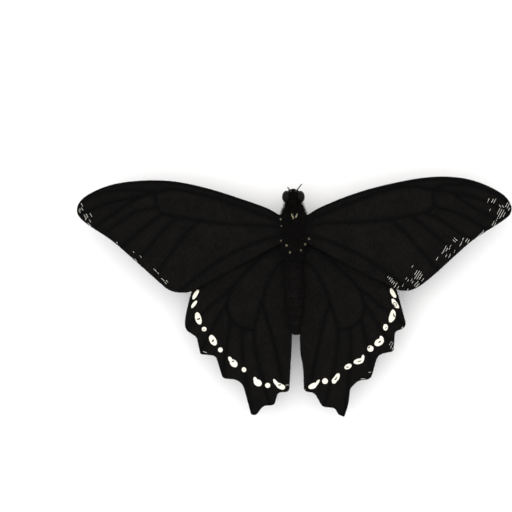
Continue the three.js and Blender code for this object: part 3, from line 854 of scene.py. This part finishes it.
# Where an edge is free, and so has a fringe
freeEdges = {
    "fore": lambda p: abs(p.x) > 4 and (p.y > 14 or abs(p.x) > 23),
    "hind": lambda p: abs(p.x) > 20 and p.y < 5 or p.y < -8.5,
}
rootHair = {
    "count": 2600,
    "from": 1.2, "fade": 2.1, "reach": 7.5,  # where it starts, thins out and ends
    "fore": {"lay": (1, -0.25, 0.3), "length": 0.85, "middle": None},
    "hind": {"lay": (0.35, -1, 0.28), "length": 1.0, "middle": 14},
    "thinning": 30,  # at this distance behind the middle line a hindwing has none
    "width": 0.03, "sunk": 0.03, "overHalf": 0.8, "curl": -0.12, "mess": 0.14,
    "shortening": (1.15, 0.6), "lengths": (0.6, 1.1), "tints": (0, 0.2),
}


# Soft hair that runs from the body out over the wing, and back along a hindwing's inner margin
def growRootHair(node, outline, surface, material, seed):
    rng = np.random.default_rng(seed)
    side = 1 if node.endswith("right") else -1
    kind = rootHair[node[:4]]
    lay = kind["lay"]
    full, less = rootHair["shortening"]
    low, high = min(p.y for p in outline), max(p.y for p in outline)
    roots, leans, lengths, tints = [], [], [], []
    while len(roots) < rootHair["count"]:
        out = rootHair["from"] + rng.exponential(rootHair["fade"])
        x, y = side * out, rng.uniform(low, high)
        far = 0 if kind["middle"] is None else abs(y - kind["middle"])
        if out > rootHair["reach"] or rng.random() < far / rootHair["thinning"]:
            continue
        if not isInside(Vector((x, y)), outline):
            continue
        upper = 1 if rng.random() < rootHair["overHalf"] else -1
        skin = upper * (wingBuild["thickness"] / 2 - rootHair["sunk"])
        roots.append((x, y, surface(x, y) + skin))
        leans.append((side * lay[0], lay[1], lay[2] * upper))
        shorter = full - less * out / rootHair["reach"]
        lengths.append(kind["length"] * shorter * rng.uniform(*rootHair["lengths"]))
        tints.append(rng.uniform(*rootHair["tints"]))
    count = len(roots)
    leans = np.array(leans) + rng.normal(0, rootHair["mess"], (count, 3)) * [1, 1, 0.6]
    curls = np.tile([[0, 0, rootHair["curl"]]], (count, 1)) * np.sign(leans[:, 2:])
    widths = np.full(count, rootHair["width"])
    return growHairs(node + "_down", np.array(roots), leans, curls, np.array(lengths), widths,
                     np.array(tints), material)


for seed, (node, (corners, veins, height, scales, flecks)) in enumerate(wings.items()):
    piece, outline, surface = makeWing(node, corners, veins, height, scales)
    fringe = growFringe(node + "_fringe", outline, surface, freeEdges[node[:4]], blackHair)
    pale = layFlecks(node + "_flecks", flecks, surface, paleScales, 30 + seed)
    down = growRootHair(node, outline, surface, blackHair, 50 + seed)
    print(node, len(piece.data.polygons), "faces,", len(fringe.data.polygons), "in its fringe")

# Body
body = {"x": -0.1, "z": 6.9, "abdomenTipX": 0.42, "abdomenTipZ": 6.5}
headBuild = {"centre": (-0.2, 23.3, 7.1), "radii": (1.4, 1.7, 1.55), "coat": 0.3}
thoraxBuild = {
    "profile": [[0, 8.75], [1.5, 8.8], [2.4, 9.6], [3, 11], [3.4, 13.2], [3.5, 15.2], [3.35, 17.2],
                [2.95, 18.9], [2.45, 20], [2.05, 20.8], [1.85, 21.35], [0, 21.4]],
    "heightScale": 0.95,
    "coat": 0.62,
    "frontCoat": 0.28,
    "neck": ((-0.1, 20.6, 6.95), (-0.2, 22.6, 7.1), 1.25),
    "waist": ((-0.1, 9.6, 6.9), (-0.08, 7.6, 6.88), 1.25),
    "covers": (1.75, 17.3, 8.6, (1.15, 2.7, 1)),
    "shield": (11.6, 9.2, (1.7, 1.5, 0.9)),
    "bumpCoat": 0.7,  # share of the coat on the covers and the shield
    "thinFrom": 18, "thinOver": 3,  # where the coat begins to thin towards the neck
}
abdomenBuild = {
    "front": 8.3, "tip": -8.3,
    "rings": [1.6, 2.1, 2.35, 2.4, 2.3, 2.1, 1.8, 1.4, 0.9],
    "waist": 0.93, "crest": 0.4, "coat": 0.22,
    "swellFrom": 0.2, "swell": 1.01, "endInset": 0.05,
}


# A round body along Y from its profile [radius, y]
def spinBody(bm, profile, steps, heightScale, start, stop):
    wire = [bm.verts.new((max(radius, 0), y, 0)) for radius, y in profile]
    edges = [bm.edges.new(pair) for pair in zip(wire, wire[1:])]
    bmesh.ops.spin(bm, geom=wire + edges, cent=(0, 0, 0), axis=(0, 1, 0), dvec=(0, 0, 0),
                   angle=2 * math.pi, steps=steps, use_merge=True)
    bmesh.ops.remove_doubles(bm, verts=bm.verts, dist=1e-3)
    low, high = profile[0][1], profile[-1][1]
    for vert in bm.verts:
        along = (vert.co.y - low) / (high - low)
        vert.co.x += start[0] + (stop[0] - start[0]) * along
        vert.co.z = vert.co.z * heightScale + start[1] + (stop[1] - start[1]) * along


def shrinkProfile(profile, coat, frontCoat=None):
    shrunk = []
    for radius, y in profile:
        depth = coat
        if frontCoat is not None:
            thin = (y - thoraxBuild["thinFrom"]) / thoraxBuild["thinOver"]
            depth += (frontCoat - coat) * max(0.0, min(1.0, thin))
        shrunk.append([radius - depth if radius > 0 else 0, y])
    return shrunk


def refineProfile(profile):
    inner = smoothPath([(r, y) for r, y in profile[1:-1]], 0.35)
    return [profile[0]] + [[p.x, p.y] for p in inner] + [profile[-1]]


def makeThoraxSkin():
    coat = thoraxBuild["coat"]
    bm = bmesh.new()
    profile = refineProfile(shrinkProfile(thoraxBuild["profile"], coat, thoraxBuild["frontCoat"]))
    middle = body["x"], body["z"]
    spinBody(bm, profile, 40, thoraxBuild["heightScale"], middle, middle)
    thinner = coat * thoraxBuild["bumpCoat"]
    out, y, z, radii = thoraxBuild["covers"]
    for side in (-1, 1):
        addBall(bm, (body["x"] + out * side, y, z), [r - thinner for r in radii])
    y, z, radii = thoraxBuild["shield"]
    addBall(bm, (body["x"], y, z), [r - thinner for r in radii])
    for joint in ("neck", "waist"):
        start, stop, radius = thoraxBuild[joint]
        path = smoothPath([start, stop], 0.4)
        sweepTube(bm, path, [radius] * len(path), 20)
    return finishMesh("thorax_skin", bm, bodySkin)


def makeAbdomenSkin():
    values = abdomenBuild
    rings = values["rings"][::-1]
    step = (values["front"] - values["tip"]) / (len(rings) - 1)
    profile = [[0, values["tip"]]]
    for i, radius in enumerate(rings):
        y = values["tip"] + i * step
        waist = values["waist"] if 0 < i < len(rings) - 1 else 1
        inset = values["endInset"] if i == 0 else -values["endInset"]
        profile.append([radius * waist, y + inset])
        if i < len(rings) - 1:
            between = (radius + rings[i + 1]) / 2
            profile.append([between, y + step * values["swellFrom"]])
            profile.append([between * values["swell"], y + step * values["crest"]])
    profile.append([0, values["front"]])
    bm = bmesh.new()
    spinBody(bm, shrinkProfile(profile, values["coat"]), 32, 1,
             (body["abdomenTipX"], body["abdomenTipZ"]), (body["x"], body["z"]))
    return finishMesh("abdomen_skin", bm, bodySkin)


def makeHeadSkin():
    bm = bmesh.new()
    addBall(bm, headBuild["centre"], [r - headBuild["coat"] for r in headBuild["radii"]], 4)
    return finishMesh("head_skin", bm, bodySkin)


# [x, y, half length, half width, turn, paleness] of the pale tufts
tufts = [
    [-0.42, 18.75, 0.68, 0.17, -70, 1], [0.5, 18.87, 0.55, 0.17, 66, 1],
    [-3.15, 18.0, 0.2, 0.18, 0, 0.8], [-2.9, 16.5, 0.26, 0.22, -40, 0.7],
    [-3.0, 13.1, 0.24, 0.22, 0, 0.7], [-1.8, 12.0, 0.3, 0.24, -40, 0.7],
    [-1.0, 10.4, 0.2, 0.26, 0, 0.8], [3.4, 13.6, 0.34, 0.24, -40, 0.8],
    [2.5, 12.3, 0.28, 0.24, -40, 0.7], [1.5, 10.9, 0.2, 0.26, 0, 0.7],
]
tuftBuild = {
    "perArea": 1300, "least": 20, "seed": 9, "sunk": 0.12, "width": 0.04,
    "lean": (0, -0.55, 0.75), "mess": 0.2, "lengths": (0.14, 0.22),
    "tint": 0.55, "paler": 0.2, "tints": (0.7, 1.1),
}
# Lay of the hair: the collar stands up and outwards, the rest lies back
collarComb = {"from": 18.8, "over": 1.8, "back": 0.6, "out": 0.3, "up": 0.25, "bodyOut": 0.12}
headComb = {"brow": 23.6, "ahead": 0.8, "back": -0.7, "up": 0.25}


def combBody(roots):
    lay = np.zeros_like(roots)
    collar = np.clip((roots[:, 1] - collarComb["from"]) / collarComb["over"], 0, 1)
    lay[:, 1] = collarComb["back"] * collar - 1
    lay[:, 0] = (roots[:, 0] - body["x"]) * (collarComb["bodyOut"] + collarComb["out"] * collar)
    lay[:, 2] = (roots[:, 2] - body["z"]) * collarComb["up"] * collar
    return lay


def combHead(roots):
    lay = np.zeros_like(roots)
    lay[:, 1] = np.where(roots[:, 1] > headComb["brow"], headComb["ahead"], headComb["back"])
    lay[:, 2] = headComb["up"]
    return lay


coats = {
    "thorax": {"count": 15500, "length": 1.15, "width": 0.042, "lift": 0.75, "curl": 0.35,
               "mess": 0.2, "overshoot": 1.05, "ends": (10.2, 19.3), "bridge": 0.55, "seed": 3},
    "abdomen": {"count": 14500, "length": 0.6, "width": 0.05, "lift": 0.4, "curl": 0.2,
                "mess": 0.15, "overshoot": 1.1, "ends": (-7.7, 7.6), "bridge": 0.4, "seed": 4},
    "head": {"count": 5200, "length": 0.55, "width": 0.035, "lift": 0.9, "curl": 0.3,
             "mess": 0.25, "overshoot": 1.1, "ends": (22.4, 30), "bridge": 0.3, "seed": 5},
}
skins = {"thorax": makeThoraxSkin(), "abdomen": makeAbdomenSkin(), "head": makeHeadSkin()}
for node, skin in skins.items():
    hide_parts(node)
    comb = combHead if node == "head" else combBody
    coat = coatSkin(node + "_hair", skin, coats[node], comb, cadTree(node), blackHair)
    print(node, len(coat.data.polygons), "faces of hair")


def makeTufts():
    rng = np.random.default_rng(tuftBuild["seed"])
    tree = cadTree("thorax", *wings)
    roots, tints = [], []
    for cx, cy, long, wide, turn, paleness in tufts:
        angle = math.radians(turn)
        for k in range(round(long * wide * tuftBuild["perArea"]) + tuftBuild["least"]):
            far, way = math.sqrt(rng.random()), rng.random() * 2 * math.pi
            u, v = long * far * math.cos(way), wide * far * math.sin(way)
            x = cx + u * math.cos(angle) - v * math.sin(angle)
            y = cy + u * math.sin(angle) + v * math.cos(angle)
            hit = tree.ray_cast(Vector((x, y, 30)), Vector((0, 0, -1)))
            if hit[0] is not None:
                roots.append((x, y, hit[0].z - tuftBuild["sunk"]))
                paler = tuftBuild["paler"] * paleness * rng.uniform(*tuftBuild["tints"])
                tints.append(tuftBuild["tint"] + paler)
    count = len(roots)
    leans = np.array([tuftBuild["lean"]]) + rng.normal(0, tuftBuild["mess"], (count, 3))
    lengths = rng.uniform(*tuftBuild["lengths"], count)
    return growHairs("pale_tufts", np.array(roots), leans, np.zeros((count, 3)), lengths,
                     np.full(count, tuftBuild["width"]), np.array(tints), blackHair)


makeTufts()

# Head parts
eyeBuild = {"out": 1.6, "y": 23.2, "z": 7.25, "radii": (1.03, 1.4, 1.45)}
palpBuild = {"out": 0.87, "y": 24.2, "z": 5.35, "radii": (0.4, 0.65, 0.95),
             "coat": 0.16, "lay": (0.1, 0.5, 0.8), "seed": 20}
palpCoat = {"count": 1500, "length": 0.42, "width": 0.03, "lift": 0.5, "curl": 0.3,
            "mess": 0.2, "overshoot": 1.2, "ends": (0, 30), "bridge": 0.0}
antennaBuild = {
    "out": 0.55, "y": 24.4, "z": 8.1, "lean": (0.62, 0.78, 0.3),
    "length": {"left": 1.3, "right": 2.2},
    "socket": 0.12, "socketRadii": (0.27, 0.27, 0.25),
    "shaftFrom": 0.28, "joint": 0.24, "taper": 0.15,
    "jointProfile": ((0, 0.115), (0.25, 0.15), (0.7, 0.155), (0.95, 0.12)),
}
tongueBuild = {
    "y": 24, "z": 4.15, "outer": 1, "inner": 0.38, "turns": 1.6, "steps": 140,
    "apart": 0.062, "closing": 0.4, "radius": 0.078, "taper": 0.45, "ribs": 0.06,
    "squash": (1, 1.35),
}
sides = {"left": -1, "right": 1}


def beside(side, values):
    return Vector((headBuild["centre"][0] + values["out"] * side, values["y"], values["z"]))


def makeEye(name, side):
    bm = bmesh.new()
    addBall(bm, beside(side, eyeBuild), eyeBuild["radii"], 5)
    piece = finishMesh("eye_" + name + "_cornea", bm, eyeCornea)
    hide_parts("eye_" + name)


def makePalp(name, side):
    node = "palp_" + name
    bm = bmesh.new()
    addBall(bm, beside(side, palpBuild), [r - palpBuild["coat"] for r in palpBuild["radii"]])
    skin = finishMesh(node + "_skin", bm, bodySkin)
    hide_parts(node)
    out, ahead, up = palpBuild["lay"]
    values = {**palpCoat, "seed": palpBuild["seed"] + side}
    comb = lambda roots: np.tile([[out * side, ahead, up]], (len(roots), 1))
    coat = coatSkin(node + "_hair", skin, values, comb, cadTree(node), blackHair)


def makeAntenna(name, side):
    values = antennaBuild
    lean = Vector((values["lean"][0] * side, *values["lean"][1:]))
    root = beside(side, values)
    first, length = values["shaftFrom"], values["length"][name]
    path, radii = [], []
    joints = round(length / values["joint"])
    for k in range(joints):
        for part, radius in values["jointProfile"]:
            path.append(root + lean * (first + (k + part) / joints * (length - first)))
            radii.append(radius * (1 - values["taper"] * k / joints))
    bm = bmesh.new()
    addBall(bm, root + lean * values["socket"], values["socketRadii"])
    sweepTube(bm, path, radii, 12)
    piece = finishMesh("antenna_" + name + "_stub", bm, feelerCuticle)
    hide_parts("antenna_" + name)


def makeTongue():
    values = tongueBuild
    bm = bmesh.new()
    for side in (-1, 1):
        path, radii = [], []
        for i in range(values["steps"] + 1):
            along = i / values["steps"]
            angle = math.pi / 2 - along * values["turns"] * 2 * math.pi
            reach = values["outer"] + (values["inner"] - values["outer"]) * along
            out = side * values["apart"] * (1 - values["closing"] * along)
            path.append((headBuild["centre"][0] + out, values["y"] + reach * math.cos(angle),
                         values["z"] + reach * math.sin(angle)))
            rib = 1 + values["ribs"] * (i % 2)
            radii.append(values["radius"] * (1 - values["taper"] * along) * rib)
        sweepTube(bm, path, radii, 10, values["squash"])
    piece = finishMesh("proboscis_coil", bm, feelerCuticle)
    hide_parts("proboscis")


for name, side in sides.items():
    makeEye(name, side)
    makePalp(name, side)
    makeAntenna(name, side)
makeTongue()
print("head parts made")

# Legs
# hip, knee, ankle, toe; the last two lie at the level of the foot
legPoints = {
    "leg_front": ((1.1, 18, 4.4), (4.8, 19, 5.7), (7.6, 18.6), (10.4, 18.9)),
    "leg_middle": ((1.4, 14.3, 3.9), (5.6, 13.4, 6), (9.2, 12.2), (12.4, 11.6)),
    "leg_hind": ((1.3, 11, 4.2), (5.2, 7.8, 6), (7.8, 2.6), (9.4, -0.8)),
}
legBuild = {
    # profiles: [share of the length, radius]
    "thigh": [(0, 0.4), (0.12, 0.5), (0.35, 0.47), (0.7, 0.38), (0.92, 0.3), (1, 0.26)],
    "shin": [(0, 0.24), (0.1, 0.27), (0.4, 0.26), (0.8, 0.22), (0.96, 0.23), (1, 0.17)],
    "kneeRadius": 0.3,
    "footLevel": 0.2,
    "footJoints": [0.42, 0.2, 0.14, 0.11, 0.13],
    "footProfile": [(0, 0.55), (0.12, 0.8), (0.75, 1), (0.93, 0.98), (1, 0.5)],
    "footRadius": 0.19, "footTaper": 0.06, "clawRoom": 0.35,
    # spines and claws: [ahead, aside, up]
    "spurRoot": 0.12, "spur": (0.75, 0.4, 0.05), "spurRadius": 0.06,
    "spineOut": 0.7, "spineDrop": 0.06, "spineBack": 0.1,
    "spine": (0.2, 0.12, -0.06), "spineRadius": 0.03,
    "clawOut": 0.06, "clawBend": (0.2, 0.12, 0.02), "clawTip": (0.33, 0.16, -0.15),
    "clawRadius": (0.06, 0.012),
}
legHair = {
    "count": 2300, "seed": 40, "above": 0.16, "longFrom": 0.6, "longOver": 4,
    "lift": 0.45, "mess": 0.12, "short": 0.14, "longer": 0.22,
    "lengths": (0.7, 1.2), "tints": (0, 0.4), "width": 0.022,
}


def taperTube(bm, start, stop, profile, sides=14, scale=1):
    path = [start.lerp(stop, along) for along, radius in profile]
    sweepTube(bm, path, [scale * radius for along, radius in profile], sides)


def spine(bm, root, tip, radius):
    sweepTube(bm, [root, root.lerp(tip, 0.5), tip], [radius, radius * 0.7, radius * 0.12], 6)


def makeLeg(kind, name, side):
    values = legBuild
    hip, knee, ankle, toe = (
        Vector((body["x"] + side * out, y, height[0] if height else values["footLevel"]))
        for out, y, *height in legPoints[kind])
    run = (toe - ankle).normalized()
    up = Vector((0, 0, 1))
    across = run.cross(up)
    bm = bmesh.new()
    taperTube(bm, hip, knee, values["thigh"])
    addBall(bm, knee, [values["kneeRadius"]] * 3)
    taperTube(bm, knee, ankle, values["shin"])

    def off(place, step, turn):
        return place + run * step[0] + across * turn * step[1] + up * step[2]

    for turn in (-1, 1):
        root = ankle + up * values["spurRoot"]
        spine(bm, root, off(ankle, values["spur"], turn), values["spurRadius"])
    done = 0.0
    total = (toe - ankle).length - values["clawRoom"]
    for k, share in enumerate(values["footJoints"]):
        start, stop = ankle + run * done * total, ankle + run * (done + share) * total
        radius = values["footRadius"] * (1 - values["footTaper"] * k)
        taperTube(bm, start, stop, values["footProfile"], 12, radius)
        for turn in (-1, 1):
            root = stop + across * turn * radius * values["spineOut"]
            root = root - up * values["spineDrop"] - run * values["spineBack"]
            spine(bm, root, off(root, values["spine"], turn), values["spineRadius"])
        done += share
    for turn in (-1, 1):
        root = off(ankle, (total, values["clawOut"], 0), turn)
        bend, tip = off(root, values["clawBend"], turn), off(root, values["clawTip"], turn)
        claw = smoothPath([root, bend, tip], 0.06)
        sweepTube(bm, claw, np.linspace(*values["clawRadius"], len(claw)), 6)
    node = f"{kind}_{name}"
    skin = finishMesh(node + "_skin", bm, legCuticle)
    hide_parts(node)

    rng = np.random.default_rng(legHair["seed"] + len(kind) * 2 + side)
    roots, normals = spreadPoints(skin.data, legHair["count"], rng)
    keep = roots[:, 2] > legHair["above"]
    roots, normals = roots[keep], normals[keep]
    count = len(roots)
    high = np.clip((roots[:, 2] - legHair["longFrom"]) / legHair["longOver"], 0, 1)
    onThigh = np.abs(roots[:, 0] - body["x"]) < legPoints[kind][1][0]
    lay = np.where(onThigh[:, None], np.array((knee - hip).normalized()),
                   np.array((ankle - knee).normalized()))
    leans = unit(normals * legHair["lift"] + lay + rng.normal(0, legHair["mess"], roots.shape))
    lengths = legHair["short"] + legHair["longer"] * high
    lengths = lengths * rng.uniform(*legHair["lengths"], count)
    tints = rng.uniform(*legHair["tints"], count)
    coat = growHairs(node + "_hair", roots, leans, np.zeros_like(roots), lengths,
                     np.full(count, legHair["width"]), tints, blackHair)


for kind in legPoints:
    for name, side in sides.items():
        makeLeg(kind, name, side)
print("legs made")


# Studio
def makeFloor():
    bm = bmesh.new()
    bmesh.ops.create_grid(bm, x_segments=2, y_segments=2, size=studio["floorSize"] / 2)
    mesh = bpy.data.meshes.new("floor")
    bm.to_mesh(mesh)
    bm.free()
    material = startMaterial(
        "paleFloor", Base_Color=studio["floorColour"], Roughness=0.9, Specular_IOR_Level=0.1)[0]
    mesh.materials.append(material)
    floor = bpy.data.objects.new("floor", mesh)
    bpy.context.scene.collection.objects.link(floor)


def makeLamps():
    for name, (place, target, size, power, colour) in studio["lamps"].items():
        lamp = bpy.data.lights.new(name, "AREA")
        lamp.size, lamp.energy, lamp.color = size, power, colour
        holder = bpy.data.objects.new(name, lamp)
        holder.location = place
        holder.rotation_euler = (Vector(target) - Vector(place)).to_track_quat("-Z", "Y").to_euler()
        bpy.context.scene.collection.objects.link(holder)
    world = bpy.data.worlds.new("studioAir")
    world.use_nodes = True
    back = world.node_tree.nodes["Background"]
    back.inputs["Color"].default_value = studio["worldColour"]
    back.inputs["Strength"].default_value = studio["worldStrength"]
    bpy.context.scene.world = world


def makeCamera():
    camera = bpy.data.cameras.new("photoCamera")
    camera.sensor_width = 36
    camera.lens = 36 * (photoView["height"] - photoView["wingLevel"]) / photoView["width"]
    camera.clip_end = 20
    holder = bpy.data.objects.new("photoCamera", camera)
    holder.location = Vector((*photoView["centre"], photoView["height"])) * mm
    bpy.context.scene.collection.objects.link(holder)
    bpy.context.scene.camera = holder


makeFloor()
makeLamps()
makeCamera()
bpy.context.scene.view_settings.view_transform = "Standard"
print("studio made")
